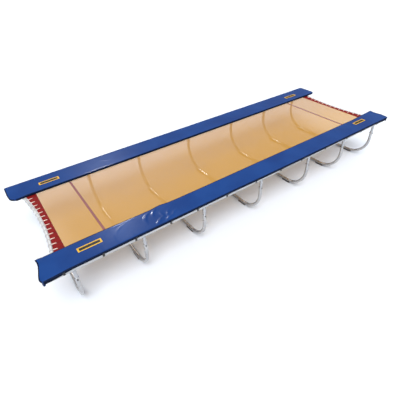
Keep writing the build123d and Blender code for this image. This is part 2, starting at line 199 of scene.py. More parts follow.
def vinyl(name, dark, light):
    """Coated fabric: soft gloss, fine leather grain, slow colour drift."""
    shader = Shader(name, light, **{"Specular IOR Level": 0.06, "Coat Weight": 0.16,
                                    "Coat Roughness": 0.10})
    shader.colour(shader.noise(2.2, 4.0), dark, light, 0.35, 0.65)
    shader.roughness(shader.noise(9.0), 0.30, 0.40)
    shader.bump(shader.noise(60.0, 2.0), 0.0006, 0.5)
    shader.bump(shader.cells(700.0), 0.00015, 0.6)
    return shader.material


def bed_mesh(name):
    """Woven mesh: two sets of flat bands, see-through at the gaps, with painted shade: more orange towards
    the near side, over the floor's shadow, and paler towards the far side.
    """
    shader = Shader(name, BED_LIGHT, Roughness=0.62, Alpha=0.80, **{"Specular IOR Level": 0.2})
    across, along = shader.ribs("X", 0.006), shader.ribs("Y", 0.006)
    weave = shader.maths("MULTIPLY", across, along)
    split = shader.add("ShaderNodeSeparateXYZ")
    shader.link(shader.place, split, "Vector")
    # painted shade: the colour follows y, more orange on the near side and paler on the far side, standing
    # in for the shadowed floor seen through the bed
    painted_shade_across = shader.maths("MULTIPLY", split.outputs["Y"], 0.45)
    worn = shader.maths("ADD", shader.maths("MULTIPLY", weave, 0.3),
                        shader.maths("MULTIPLY", shader.noise(1.6, 3.0), 0.5))
    shader.colour(shader.maths("ADD", worn, painted_shade_across), BED_DARK, BED_LIGHT, 0.12, 0.52)
    shader.bump(weave, 0.0008, 0.6)
    return shader.material


def webbing(name, dark, light, pitch=0.003, axis="Y", **inputs):
    """Woven tape: ribs across it and a fine twill."""
    shader = Shader(name, light, Roughness=0.75, **{"Sheen Weight": 0.15, **inputs})
    ribs = shader.ribs(axis, pitch)
    twill = shader.ribs("DIAGONAL", pitch * 1.7)
    mixed = shader.maths("ADD", shader.maths("MULTIPLY", ribs, 0.5),
                         shader.maths("MULTIPLY", twill, 0.3))
    shader.colour(shader.maths("ADD", mixed, shader.maths("MULTIPLY", shader.noise(6.0), 0.4)),
                  dark, light, 0.2, 0.9)
    shader.bump(mixed, 0.0006, 0.7)
    return shader.material


def end_loop_cover(name):
    """Loop cover that is grey like the end tube where it wraps it, and cream past it."""
    shader = Shader(name, LOOP_GREY, Roughness=0.75)
    split = shader.add("ShaderNodeSeparateXYZ")
    shader.link(shader.place, split, "Vector")
    from_centre_x = shader.maths("SUBTRACT", BOW_CENTRE, shader.maths("ABSOLUTE", split.outputs["X"]))
    squares = [shader.maths("POWER", shader.maths("ABSOLUTE", part), 2)
               for part in (from_centre_x, split.outputs["Y"])]
    radius = shader.maths("SQRT", shader.maths("ADD", *squares))
    cream_from, fade = BOW + TUBE_RADIUS - 0.010, 1 / 0.0125
    past_tube = shader.maths("MULTIPLY", shader.maths("SUBTRACT", radius, cream_from), fade)
    mottle = shader.maths("MULTIPLY", shader.noise(60.0), 0.2)
    shader.colour(shader.maths("ADD", past_tube, mottle), LOOP_GREY, LOOP_CREAM, 0.1, 0.9)
    shader.bump(shader.ribs("Y", 0.0025), 0.0005, 0.5)
    return shader.material


def metal(name, dark, light, rough, grain=None, metallic=1.0):
    """Tube or sheet steel: faint zinc spangle, drawing marks along the grain axis."""
    shader = Shader(name, light, Metallic=metallic)
    shader.colour(shader.noise(3.0, 6.0), dark, light, 0.3, 0.7)
    shader.roughness(shader.noise(25.0), rough - 0.04, rough + 0.04)
    stretch = grain or (400.0, 400.0, 400.0)
    shader.bump(shader.noise(1.0, 3.0, stretch), 0.00002, 0.4)
    return shader.material


def painted(name, dark, light, rough=0.35):
    """Powder coat with a slight orange peel."""
    shader = Shader(name, light, **{"Specular IOR Level": 0.5, "Coat Weight": 0.2,
                                    "Coat Roughness": 0.15})
    shader.colour(shader.noise(5.0), dark, light, 0.35, 0.65)
    shader.roughness(shader.noise(30.0), rough - 0.05, rough + 0.08)
    shader.bump(shader.noise(350.0, 1.0), 0.0002, 0.4)
    return shader.material


def rubber(name, dark, light, rib=0.006):
    """Moulded rubber with fine ribs, darker in the grooves between them."""
    shader = Shader(name, light, Roughness=0.8)
    ribs = shader.ribs("Y", rib)
    shader.colour(shader.maths("ADD", shader.maths("MULTIPLY", ribs, 0.3), shader.noise(40.0)),
                  dark, light, 0.4, 1.0)
    shader.bump(ribs, 0.001, 0.6)
    return shader.material


def label_film(name):
    """Yellow film with a plain dark bar inside a yellow border."""
    shader = Shader(name, LABEL_YELLOW, Roughness=0.45, **{"Specular IOR Level": 0.2})
    half_bar_across, half_bar_up = 0.43, 0.29      # shares of the label
    split = shader.add("ShaderNodeSeparateXYZ")
    shader.link(shader.add("ShaderNodeUVMap").outputs["UV"], split, "Vector")
    across, up = split.outputs["X"], split.outputs["Y"]
    from_middle_x = shader.maths("ABSOLUTE", shader.maths("SUBTRACT", across, 0.5))
    from_middle_y = shader.maths("ABSOLUTE", shader.maths("SUBTRACT", up, 0.5))
    in_x = shader.maths("LESS_THAN", from_middle_x, half_bar_across)
    in_y = shader.maths("LESS_THAN", from_middle_y, half_bar_up)
    bar = shader.maths("MULTIPLY", in_x, in_y)
    speckle = shader.maths("MULTIPLY", shader.noise(120.0), 0.12)
    shader.colour(shader.maths("ADD", bar, speckle), LABEL_YELLOW, LABEL_DARK, 0.1, 0.9)
    return shader.material


# BED_DARK, the more orange tone, is painted shade on the near side and BED_LIGHT painted light on the far
# side; random tone mixes in too
BED_DARK, BED_LIGHT = (0.545, 0.280, 0.040), (0.465, 0.245, 0.070)
LOOP_CREAM, LOOP_GREY = (0.80, 0.60, 0.49), (0.40, 0.40, 0.41)
LABEL_YELLOW, LABEL_DARK = (0.70, 0.40, 0.02), (0.008, 0.006, 0.006)

PAD_BLUE = vinyl("pad_vinyl", (0.004, 0.037, 0.180), (0.007, 0.050, 0.220))
# painted shade: this dark trim stands for the shade on the pads' side faces and edges
PAD_TRIM_SHADE_DARK = webbing("pad_trim_painted_shade", (0.002, 0.004, 0.013), (0.004, 0.008, 0.024), 0.003, "X",
                   **{"Specular IOR Level": 0.1, "Sheen Weight": 0.0})
# painted shade: a darker copy of the pad vinyl for the turned-down corner flaps
FLAP_VINYL_SHADED = vinyl("flap_vinyl_painted_shade", (0.003, 0.012, 0.055), (0.005, 0.018, 0.075))
THREAD = webbing("pad_thread", (0.006, 0.03, 0.13), (0.012, 0.05, 0.20), 0.001)
BED_MESH = bed_mesh("bed_mesh")
BAND_RED = webbing("end_band", (0.15, 0.003, 0.003), (0.26, 0.006, 0.005), 0.004,
                   **{"Sheen Weight": 0.0, "Specular IOR Level": 0.2})
LINE_TAPE = webbing("marking_tape", (0.20, 0.06, 0.06), (0.32, 0.11, 0.11), 0.003, Alpha=0.9)
HEM_TAPE = webbing("hem_tape", (0.66, 0.45, 0.26), (0.84, 0.66, 0.46), 0.003)
STRAP_BLACK = webbing("strap_webbing", (0.006, 0.006, 0.008), (0.02, 0.02, 0.024), 0.002, "X")
LOOP_PALE = webbing("loop_cover", (0.56, 0.42, 0.34), (0.78, 0.64, 0.55), 0.0025)
END_LOOP = end_loop_cover("end_loop_cover")
RAIL_METAL = metal("rail_zinc", (0.46, 0.47, 0.48), (0.60, 0.61, 0.62), 0.42, (4.0, 300.0, 300.0), 0.35)
TUBE_PAINT = painted("end_tube_paint", (0.50, 0.50, 0.50), (0.60, 0.60, 0.60))
HOOP_METAL = metal("hoop_zinc", (0.42, 0.41, 0.41), (0.56, 0.55, 0.54), 0.26)
STUB_CHROME = metal("stub_chrome", (0.40, 0.40, 0.41), (0.52, 0.52, 0.53), 0.14, (300.0, 300.0, 6.0))
BOLT_METAL = metal("bolt_zinc", (0.06, 0.06, 0.06), (0.14, 0.14, 0.14), 0.40)
ROD_METAL = metal("rod_steel", (0.40, 0.40, 0.40), (0.60, 0.60, 0.60), 0.30, (4.0, 300.0, 300.0))
FOOT_RUBBER = rubber("foot_rubber", (0.03, 0.026, 0.024), (0.09, 0.08, 0.075))
PLUG_PLASTIC = rubber("plug_plastic", (0.03, 0.03, 0.03), (0.07, 0.07, 0.065), 0.01)
LABEL_FILM = label_film("label_film")


def dress_cad():
    """Better materials on the CAD nodes that stay in view."""
    finishes = {
        "near_side_rail": RAIL_METAL, "far_side_rail": RAIL_METAL, "rail_plugs": PLUG_PLASTIC,
        "left_end_tube": TUBE_PAINT, "right_end_tube": TUBE_PAINT, "end_tube_flanges": RAIL_METAL,
        "flange_bolts": BOLT_METAL, "near_leg_stubs": STUB_CHROME, "far_leg_stubs": STUB_CHROME,
        "hoop_bolts": BOLT_METAL, "hoop_nuts": BOLT_METAL, "rubber_feet": FOOT_RUBBER,
        "near_lacing_bar": ROD_METAL, "far_lacing_bar": ROD_METAL, "near_bar_lugs": RAIL_METAL,
        "far_bar_lugs": RAIL_METAL,
    }
    finishes.update({name: HOOP_METAL for name in NODES if name.startswith("floor_hoop")})
    for name, finish in finishes.items():
        slots = NODES[name].data.materials
        slots.clear()
        slots.append(finish)


# ---------------------------------------------------------------- mesh helpers

def make_piece(name, points, faces, material, slot, smooth=True):
    mesh = bpy.data.meshes.new(name)
    mesh.from_pydata([tuple(p) for p in points], [], faces)
    mesh.validate()
    mesh.materials.append(material)
    mesh.polygons.foreach_set("use_smooth", [smooth] * len(mesh.polygons))
    piece = bpy.data.objects.new(name, mesh)
    bpy.context.scene.collection.objects.link(piece)
    return piece


def grid_faces(rows, columns, wrap_rows=False, wrap_columns=False, base=0):
    """Quads over points stored row by row."""
    faces = []
    for i in range(rows if wrap_rows else rows - 1):
        for j in range(columns if wrap_columns else columns - 1):
            i2, j2 = (i + 1) % rows, (j + 1) % columns
            faces.append((base + i * columns + j, base + i * columns + j2,
                          base + i2 * columns + j2, base + i2 * columns + j))
    return faces


def spaced(start, end, step):
    """Places from start to end, at most step apart."""
    count = max(1, int(abs(end - start) / step + 0.999))
    return [start + (end - start) * i / count for i in range(count + 1)]


def smoothstep(t):
    t = min(1.0, max(0.0, t))
    return t * t * (3 - 2 * t)


def bell(t, middle, width):
    return exp(-((t - middle) / width) ** 2)


def facing(faces, outward):
    """The faces as they are, or turned over where they would face inward."""
    return faces if outward else [tuple(reversed(face)) for face in faces]


def corner_arc(centre_y, centre_z, radius, start):
    """Places round a quarter turn, clockwise from an angle in degrees: (y, z, sine of the angle)."""
    angles = [radians(start - 22.5 * step) for step in range(5)]
    return [(centre_y + radius * cos(a), centre_z + radius * sin(a), sin(a)) for a in angles]


def rounded_corners(y0, y1, z0, z1, radius):
    """The corner arcs of a rounded rectangle, clockwise from its outer top one, with their start angles."""
    return [(start, corner_arc(centre_y, centre_z, radius, start)) for centre_y, centre_z, start in
            ((y1 - radius, z1 - radius, 90), (y1 - radius, z0 + radius, 0),
             (y0 + radius, z0 + radius, -90), (y0 + radius, z1 - radius, 180))]


def join_meshes(parts):
    """One list of points and one of faces from several."""
    points, faces = [], []
    for part_points, part_faces in parts:
        base = len(points)
        points.extend(part_points)
        faces.extend([tuple(i + base for i in face) for face in part_faces])
    return points, faces


def thicken(piece, depth, offset=-1):
    """Thickness for a sheet, behind its faces unless the offset says otherwise."""
    solid = piece.modifiers.new("thickness", "SOLIDIFY")
    solid.thickness, solid.offset = depth, offset
    return piece


def finished(piece):
    """The piece with its modifiers applied."""
    bpy.context.view_layer.update()
    evaluated = piece.evaluated_get(bpy.context.evaluated_depsgraph_get())
    mesh = bpy.data.meshes.new_from_object(evaluated)
    piece.modifiers.clear()
    piece.data = mesh
    return piece


def bent_rod(name, centres, radius, material, slot):
    """Round bar through a list of centres, closed at both ends."""
    sides = 12
    points = []
    for i, centre in enumerate(centres):
        ahead, behind = centres[min(i + 1, len(centres) - 1)], centres[max(i - 1, 0)]
        along = (Vector(ahead) - Vector(behind)).normalized()
        across = along.cross(Vector((0, 0, 1))).normalized()
        for k in range(sides):
            a = 2 * pi * k / sides
            points.append(Vector(centre) + across * radius * cos(a) + Vector((0, 0, radius * sin(a))))
    faces = grid_faces(len(centres), sides, wrap_columns=True)
    faces.append(tuple(reversed(range(sides))))
    faces.append(tuple(range(len(points) - sides, len(points))))
    return make_piece(name, points, faces, material, slot)


# ---------------------------------------------------------------- pads

EDGE_ROUND = 0.0080          # radius of the cover's edges
PAD_STEP = 0.012
PAD_WIDTH = PAD_OUTER_Y - PAD_INNER_Y
PAD_END_HEIGHT = 0.45        # height of the cover where its ends close, as a share of the pad's
EDGE_REACH = 0.15            # how far into the pad a drawn-in edge is felt
END_REACH = 0.30             # and a drawn-in end
STITCH, STITCH_ROWS, STITCH_INSET = 0.009, (0.016, 0.021), 0.12
SKIRT_DROP, CORNER_DROP = 0.004, 0.014
PIPING_RADIUS, END_PIPING_RADIUS = 0.0050, 0.0075
PIPING_OUT, PIPING_DOWN = 0.0005, 0.0035      # the piping's place, from the cover's top edge


def pad_profile():
    """Points round the pad's cross-section: (y, z, share of the top's wrinkles)."""
    y0, y1, z0, z1, r = PAD_INNER_Y, PAD_OUTER_Y, PAD_BOTTOM + 0.0005, PAD_TOP, EDGE_ROUND
    points = []
    for start, arc in rounded_corners(y0, y1, z0, z1, r):
        on_top = start in (90, 180)
        points.extend([(y, z, max(0.0, rise) if on_top else 0.0) for y, z, rise in arc])
        if start == -90:
            points.extend([(y0, z0 + r + (z1 - z0 - 2 * r) * k / 3, 0.0) for k in (1, 2)])
        if start == 90:
            points.extend([(y1, z1 - r - (z1 - z0 - 2 * r) * k / 3, 0.0) for k in (1, 2)])
        if start == 0:
            points.extend([(y, z0, 0.0) for y in spaced(y1 - r, y0 + r, 0.03)[1:-1]])
    points.extend([(y, z1, 1.0) for y in spaced(y0 + r, y1 - r, 0.012)[1:-1]])
    return points


# Creases on the near pad: (x, distance in from the outer edge, direction in degrees, length, width, height)
NEAR_CREASES = [
    (-1.750, 0.236, 58, 0.150, 0.014, 0.0072), (-1.636, 0.260, 56, 0.110, 0.012, 0.0055),
    (-1.627, 0.090, 40, 0.110, 0.012, 0.0055), (-1.640, 0.062, 24, 0.080, 0.014, 0.0070),
    (-1.505, 0.062, 22, 0.090, 0.015, 0.0072), (-1.494, 0.136, 66, 0.110, 0.012, 0.0048),
    (-1.560, 0.160, 96, 0.090, 0.012, 0.0040), (-1.420, 0.110, 40, 0.090, 0.014, 0.0040),
    (-2.150, 0.190, 60, 0.260, 0.014, 0.0016), (-0.600, 0.250, 30, 0.180, 0.016, 0.0016),
]
FAR_CREASES = [
    (-1.62, 0.16, 40, 0.16, 0.016, 0.0018), (0.85, 0.20, 60, 0.20, 0.016, 0.0014),
    (2.05, 0.12, 20, 0.18, 0.016, 0.0016),
]


def ridge(x, depth, crease):
    """Height of one crease at a place on the pad: a bump across it, fading towards its ends."""
    cx, cd, turn, length, width, height = crease
    curve = 3.0
    a = radians(turn)
    along = (x - cx) * cos(a) + (depth - cd) * sin(a)
    across = -(x - cx) * sin(a) + (depth - cd) * cos(a)
    across += curve * along * along
    if abs(along) > length:
        return 0.0
    fade = cos(along / length * pi / 2) ** 2
    return height * fade * exp(-(across / width) ** 2)


def pad_relief(x, depth, side):
    """How far the cover stands above the foam, x along the track, depth in from the outer edge."""
    slow = 0.5 + 0.5 * noise.noise(Vector((x * 1.1, depth * 3.0, 4.0 + side)))
    fine = 0.5 + 0.5 * noise.noise(Vector((x * 7.0, depth * 9.0, 9.0 + side)))
    relief = 0.0006 + 0.0022 * slow + 0.0008 * fine
    pull_reach, pull_depth, pull_height, pull_waves = 0.10, 0.06, 0.0010, 9
    for place in STRAP_PLACES:
        reach = abs(x - place) / pull_reach
        if reach < 1:
            pull = cos(reach * pi / 2) ** 2 * exp(-depth / pull_depth)
            relief -= pull_height * pull * cos(reach * pull_waves)
    longest_crease, least_relief = 0.35, 0.0004
    for crease in NEAR_CREASES if side == NEAR else FAR_CREASES:
        if abs(x - crease[0]) < longest_crease:
            relief += ridge(x, depth, crease)
    return max(least_relief, relief)


def inner_drift(x, side):
    """How far the pad's inner edge is drawn away from the bed at a place along it."""
    wander = 0.003 * noise.noise(Vector((x * 0.9, 2.0 * side, 0.5)))
    if side == FAR:
        return wander - 0.016
    drawn = 0.024 * smoothstep((x + 2.5) / 1.4) * smoothstep((2.9 - x) / 0.5)
    loose_by_creases = 0.018 * bell(x, -1.50, 0.10)
    return wander + drawn - loose_by_creases


def outer_drift(x, side):
    """How far its outer edge is drawn in."""
    drift = 0.0015 + 0.0015 * noise.noise(Vector((x * 1.3, 5.0 * side, 2.5)))
    if side == NEAR:
        drift += 0.012 * (1 - smoothstep((x + 0.8) / 1.4))
    return drift * smoothstep((PAD_HALF_LENGTH - 0.04 - abs(x)) / 0.25)


def end_outline(depth, side, end):
    """How far the pad's end stands out beyond its nominal length, by depth in from the outer edge."""
    t = depth / PAD_WIDTH
    if side == NEAR and end < 0:
        outer_lobe = 0.034 * smoothstep((0.70 - t) / 0.6)
        waist = 0.010 * bell(t, 0.8, 0.12)
        drawn_corner = 0.012 * bell(t, 0.0, 0.05)
        return 0.012 + outer_lobe - waist - drawn_corner
    if side == FAR and end < 0:
        inner_slope = 0.009 * smoothstep((t - 0.6) / 0.25)
        round_corner = 0.055 * max(0.0, (t - 0.84) / 0.16) ** 2
        return 0.022 - inner_slope - round_corner
    if side == NEAR:
        middle_lobe = 0.022 * bell(t, 0.4, 0.28)
        inner_ear = 0.010 * bell(t, 1.0, 0.06)
        return 0.006 + middle_lobe + inner_ear
    return 0.012 - 0.025 * smoothstep((t - 0.75) / 0.25)


def end_droop(x, depth, side):
    """The far pad's left inner corner hangs; the near pad's inner corners stand up a little."""
    t = depth / PAD_WIDTH
    from_end = PAD_HALF_LENGTH - abs(x)
    if side == FAR and x < 0:
        hang = 0.008
        return -hang * smoothstep((0.20 - from_end) / 0.17) * smoothstep((t - 0.3) / 0.6)
    if side == NEAR:
        lift = 0.008
        return lift * smoothstep((0.075 - from_end) / 0.075) * smoothstep((t - 0.6) / 0.4)
    return 0.0


def pad_station(x, side):
    """Where a place along the nominal pad lies once its ends are shaped, as a function of depth."""
    end = 1 if x > 0 else -1
    reach = smoothstep((abs(x) - (PAD_HALF_LENGTH - END_REACH)) / END_REACH)
    return lambda depth: x + end * reach * end_outline(depth, side, end)


def pad_stations():
    """Places along the pad with the cover's height there, rounded off at both ends."""
    rings, half = 5, PAD_HALF_LENGTH
    turns = [pi / 2 * k / rings for k in range(rings)]
    stations = [(-half + EDGE_ROUND * (1 - cos(turn)), PAD_END_HEIGHT + (1 - PAD_END_HEIGHT) * sin(turn))
                for turn in turns]
    stations += [(x, 1.0) for x in spaced(-half + EDGE_ROUND, half - EDGE_ROUND, PAD_STEP)]
    return stations + [(-x, swell) for x, swell in reversed(stations[:rings])]


def pad_skin(name, side):
    """The cover, closed all round, in place of the CAD cover, underside and foam, which are hidden."""
    profile, stations = pad_profile(), pad_stations()
    count = len(profile)
    middle_z = (PAD_TOP + PAD_BOTTOM) / 2
    points = []
    for x, swell in stations:
        place = pad_station(x, side)
        drawn_inner, drawn_outer = inner_drift(x, side), outer_drift(x, side)
        for y, z, share in profile:
            depth = PAD_OUTER_Y - y
            relief = share * swell * pad_relief(x, depth, side)
            moved = y + drawn_inner * (1 - smoothstep((y - PAD_INNER_Y) / EDGE_REACH))
            moved -= drawn_outer * (1 - smoothstep(depth / EDGE_REACH))
            height = middle_z + (z - middle_z) * swell + relief + end_droop(x, depth, side)
            points.append((place(depth), side * moved, height))
    faces = grid_faces(len(stations), count, wrap_columns=True)
    faces.append(tuple(range(count)))
    faces.append(tuple(reversed(range(len(points) - count, len(points)))))
    return make_piece(name, points, facing(faces, side == NEAR), PAD_BLUE, "pad_vinyl")


def pads():
    for word, side in SIDES.items():
        skin = pad_skin(f"{word}_pad_skin", side)
        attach(skin, f"{word}_pad")
        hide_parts(f"{word}_pad_cover", f"{word}_pad_underside", f"{word}_pad_foam")
        labels(word, side)
        corner_flaps(word, side)
        bindings(word, side)
        stitches(word, side)


def pad_edge(x, side, inner):
    """Where the pad's long edge runs at a place along it, away from the track's middle."""
    if inner:
        return PAD_INNER_Y + inner_drift(x, side)
    return PAD_OUTER_Y - outer_drift(x, side)


def edge_place(x, depth, side, y, z):
    """A place on the trim, moved with the pad's end outline and droop."""
    return (pad_station(x, side)(depth), side * y, z + end_droop(x, depth, side))


def skirt_drop(x):
    """The outer tape hangs a little below the pad, lower at its two ends: a dark band of painted shade
    under the pad's edge.
    """
    return SKIRT_DROP + CORNER_DROP * smoothstep((0.30 - (PAD_HALF_LENGTH - abs(x))) / 0.22)


def bindings(word, side):
    """Dark tape sewn down the pad's long sides as a short skirt, and piping round its top edges. The tape's
    reach up the side faces and below the pad, and the piping's dark colour, are painted shade of the pad's
    shaded sides and edges.
    """
    parts = []
    limit = PAD_HALF_LENGTH - 0.010
    xs = spaced(-limit, limit, 0.03)
    for edge, depth, out in (("inner", PAD_WIDTH, -1), ("outer", 0.0, 1)):
        points = []
        for x in xs:
            drop = skirt_drop(x) if edge == "outer" else 0.0
            # from under the pad, round its lower edge and up its side
            outline = [(-0.012, PAD_BOTTOM - 0.0008), (-0.002, PAD_BOTTOM - 0.0016 - drop),
                       (0.0004, PAD_BOTTOM - 0.004 - drop), (0.0016, PAD_BOTTOM - 0.003 - drop),
                       (0.0016, PAD_BOTTOM + 0.004), (0.0014, PAD_TOP - 0.014)]
            start = pad_edge(x, side, edge == "inner")
            points += [edge_place(x, depth, side, start + out * y, z) for y, z in outline]
        parts.append((points, facing(grid_faces(len(xs), len(outline)), out * side > 0)))
        centres = [edge_place(x, depth, side, pad_edge(x, side, edge == "inner") + out * PIPING_OUT,
                              PAD_TOP - PIPING_DOWN) for x in xs]
        piping = bent_rod(f"{word}_piping_{edge}", centres, PIPING_RADIUS, PAD_TRIM_SHADE_DARK, "underside_fabric")
        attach(piping, f"{word}_pad")
    binding = make_piece(f"{word}_binding", *join_meshes(parts), PAD_TRIM_SHADE_DARK, "underside_fabric")
    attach(finished(thicken(binding, 0.0008)), f"{word}_pad")
    for end_word in ENDS:
        end_piping(word, side, end_word)


def end_piping(word, side, end_word):
    """Thicker piping across one end of the pad, along its outline, dark as painted shade of that edge."""
    inset, out = 0.004, 0.002
    end = ENDS[end_word]
    x = end * PAD_HALF_LENGTH
    place = pad_station(x, side)
    centres = []
    for depth in spaced(PAD_WIDTH - inset, inset, 0.012):
        y = PAD_OUTER_Y - depth + inner_drift(x, side) * smoothstep((depth - 0.19) / EDGE_REACH)
        centres.append((place(depth) + end * out, side * y,
                        PAD_TOP - PIPING_DOWN + end_droop(x, depth, side)))
    piping = bent_rod(f"{word}_piping_{end_word}", centres, END_PIPING_RADIUS, PAD_TRIM_SHADE_DARK, "underside_fabric")
    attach(piping, f"{word}_pad")


def stitches(word, side):
    """Two rows of lockstitch along each long edge of the cover."""
    parts = []
    count = int(2 * (PAD_HALF_LENGTH - STITCH_INSET) / STITCH)
    half, wide = STITCH * 0.36, 0.0007
    for inner, row in [(inner, row) for inner in (True, False) for row in STITCH_ROWS]:
        out = 1 if inner else -1
        for i in range(count):
            x = -PAD_HALF_LENGTH + STITCH_INSET + i * STITCH
            y = pad_edge(x, side, inner) + out * row
            z = PAD_TOP + pad_relief(x, PAD_OUTER_Y - y, side)
            points = [(x - half, side * y, z - 0.0004), (x, side * (y - wide), z + 0.0001),
                      (x + half, side * y, z - 0.0004), (x, side * (y + wide), z + 0.0001),
                      (x, side * y, z + 0.0009)]
            faces = [(0, 1, 4), (1, 2, 4), (2, 3, 4), (3, 0, 4), (3, 2, 1, 0)]
            parts.append((points, facing(faces, side == FAR)))
    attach(make_piece(f"{word}_stitches", *join_meshes(parts), THREAD, "pad_vinyl"), f"{word}_pad")


def labels(word, side):
    """Film patches that follow the cover, just clear of it."""
    half_x, clear = LABEL_LENGTH / 2, 0.0008
    middle_x = LABEL_HI.x - half_x
    y0, y1 = LABEL_LO.y, LABEL_HI.y
    parts, uvs = [], []
    xs, ys = spaced(-half_x, half_x, 0.01), spaced(y0, y1, 0.01)
    for end in (-1, 1):
        points = []
        for x in xs:
            for y in ys:
                px = end * middle_x + x
                lift = pad_relief(px, PAD_OUTER_Y - y, side) + clear
                points.append((px, side * y, PAD_TOP + lift))
                uvs.append(((x + half_x) / LABEL_LENGTH, (y - y0) / (y1 - y0)))
        parts.append((points, facing(grid_faces(len(xs), len(ys)), side == FAR)))
    piece = make_piece(f"{word}_labels", *join_meshes(parts), LABEL_FILM, "label_print")
    layer = piece.data.uv_layers.new(name="UVMap")
    for loop in piece.data.loops:
        layer.data[loop.index].uv = uvs[loop.vertex_index]
    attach(piece, f"{word}_pad")
    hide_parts(f"{word}_pad_labels")


def corner_flaps(word, side):
    """Turned-down vinyl at the pad's outer corners: a curved panel of two layers round the corner, in a
    darker copy of the pad vinyl as painted shade.
    """
    overlap, bow_in, rows = 0.006, 0.002, 7
    drop = FLAP_HI.z - FLAP_LO.z
    # round the corner: (inset from the pad's end, depth from its outer edge, share of the drop)
    path = [(0.020, 0.001, 0.75), (0.012, 0.0005, 0.95), (0.003, 0.004, 1.0), (0.0005, 0.014, 1.0),
            (0.001, 0.05, 0.8), (0.003, 0.095, 0.25)]
    parts = []
    for end in (-1, 1):
        for is_front, offset in ((True, 0.0), (False, -0.0016)):
            points = []
            for inset, depth, share in path:
                place = pad_station(end * (PAD_HALF_LENGTH - inset), side)(depth)
                for k in range(rows):
                    t = k / (rows - 1)
                    points.append((place + end * (offset - bow_in * sin(pi * t)),
                                   side * (PAD_OUTER_Y - depth + offset),
                                   PAD_BOTTOM + overlap - (drop + overlap) * share * t))
            parts.append((points, facing(grid_faces(len(path), rows), (end * side > 0) != is_front)))
    piece = make_piece(f"{word}_corner_flaps", *join_meshes(parts), FLAP_VINYL_SHADED, "pad_vinyl")
    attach(piece, f"{word}_pad")
    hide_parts(f"{word}_pad_corner_flaps")


# ---------------------------------------------------------------- bed

END_ZONE_START, END_ZONE_END = LINE_X, BED_HI.x      # the bed's end zones lie between these
ZONES = {"left": -1, "middle": 0, "right": 1}
HEM_LIFT, HEM_SKIN, HEM_THICKNESS = 0.0016, 0.0018, 0.0012


def bed_height(x, y):
    """The bed hangs a few millimetres lower in the middle, with slight ripples."""
    sag = 0.004 * cos(pi / 2 * min(1, abs(y) / BED_HI.y)) * cos(pi / 2 * min(1, abs(x) / BED_HI.x))
    ripple = 0.0006 * noise.noise(Vector((x * 2.0, y * 3.0, 7.0)))
    return BED_Z - sag - ripple


def bed_sheet(name, x0, x1):
    xs, ys = spaced(x0, x1, 0.03), spaced(-BED_HI.y, BED_HI.y, 0.03)
    points = [(x, y, bed_height(x, y)) for x in xs for y in ys]
    piece = make_piece(name, points, facing(grid_faces(len(xs), len(ys)), False), BED_MESH, "bed_mesh")
    return piece


def marking_line(name, end):
    """Thin tape across the bed, sewn flat on it."""
    half, lift = (LINE_HI.x - LINE_LO.x) / 2, 0.0010
    xs, ys = spaced(end * LINE_X - half, end * LINE_X + half, 0.01), spaced(-HEM_LO.y, HEM_LO.y, 0.03)
    points = [(x, y, bed_height(x, y) + lift) for x in xs for y in ys]
    faces = facing(grid_faces(len(xs), len(ys)), False)
    return thicken(make_piece(name, points, faces, LINE_TAPE, "marking_tape"), 0.0008)


def ride_zone(piece, zone):
    """The middle of the bed moves with it; the end zones stay fixed where they are."""
    if zone == 0:
        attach(piece, "bed")
    else:
        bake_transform(piece)


def zone_range(zone, limit):
    if zone == 0:
        return -END_ZONE_START, END_ZONE_START
    return sorted((zone * END_ZONE_START, zone * limit))


def bed():
    for word, zone in ZONES.items():
        sheet = bed_sheet(f"bed_{word}", *zone_range(zone, BED_HI.x))
        ride_zone(sheet, zone)
        if zone == 0:
            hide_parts("jumping_bed")
    for word, end in ENDS.items():
        line = marking_line(f"{word}_line", end)
        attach(line, "bed")
        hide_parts(f"{word}_marking_line")


def loop_stations(count):
    return [(i - (count - 1) / 2) * LOOP_SPACING for i in range(count)]


def at_loop(x):
    """True where the hem's pocket is open for a loop."""
    return any(abs(x - place) < NOTCH_WIDTH / 2 for place in loop_stations(SIDE_LOOPS))


def hem_piece(name, side, zone):
    """Edge webbing: a flat strip that folds round the rod, open at every loop."""
    x0, x1 = zone_range(zone, HEM_HI.x)
    pocket = HEM_ROD_RADIUS + HEM_SKIN
    flat_ys = spaced(HEM_LO.y, HEM_ROD_Y - NOTCH_MARGIN, 0.02)
    xs = spaced(x0, x1, 0.02)
    strip = [(x, side * y, bed_height(x, 0.9 * y) + HEM_LIFT) for x in xs for y in flat_ys]
    parts = [(strip, facing(grid_faces(len(xs), len(flat_ys)), side == NEAR))]
    edges = [x0] + [place + sign * NOTCH_WIDTH / 2 for place in loop_stations(SIDE_LOOPS)
                    for sign in (-1, 1) if x0 < place + sign * NOTCH_WIDTH / 2 < x1] + [x1]
    for start, end in zip(edges[:-1], edges[1:]):
        if at_loop((start + end) / 2):
            continue
        # over the rod, round it and back under the bed
        arc = [(HEM_ROD_Y - NOTCH_MARGIN, BED_Z + HEM_LIFT)]
        arc += [(HEM_ROD_Y + pocket * sin(radians(a)), HEM_ROD_Z + pocket * cos(radians(a)))
                for a in range(0, 211, 30)]
        arc += [(HEM_ROD_Y - 0.016, HEM_ROD_Z - 0.002), (HEM_ROD_Y - 0.045, BED_LO.z - 0.0006)]
        xs = spaced(start, end, 0.02)
        points = [(x, side * y, z) for x in xs for y, z in arc]
        parts.append((points, facing(grid_faces(len(xs), len(arc)), side == NEAR)))
    return thicken(make_piece(name, *join_meshes(parts), HEM_TAPE, "hem_webbing"), HEM_THICKNESS)


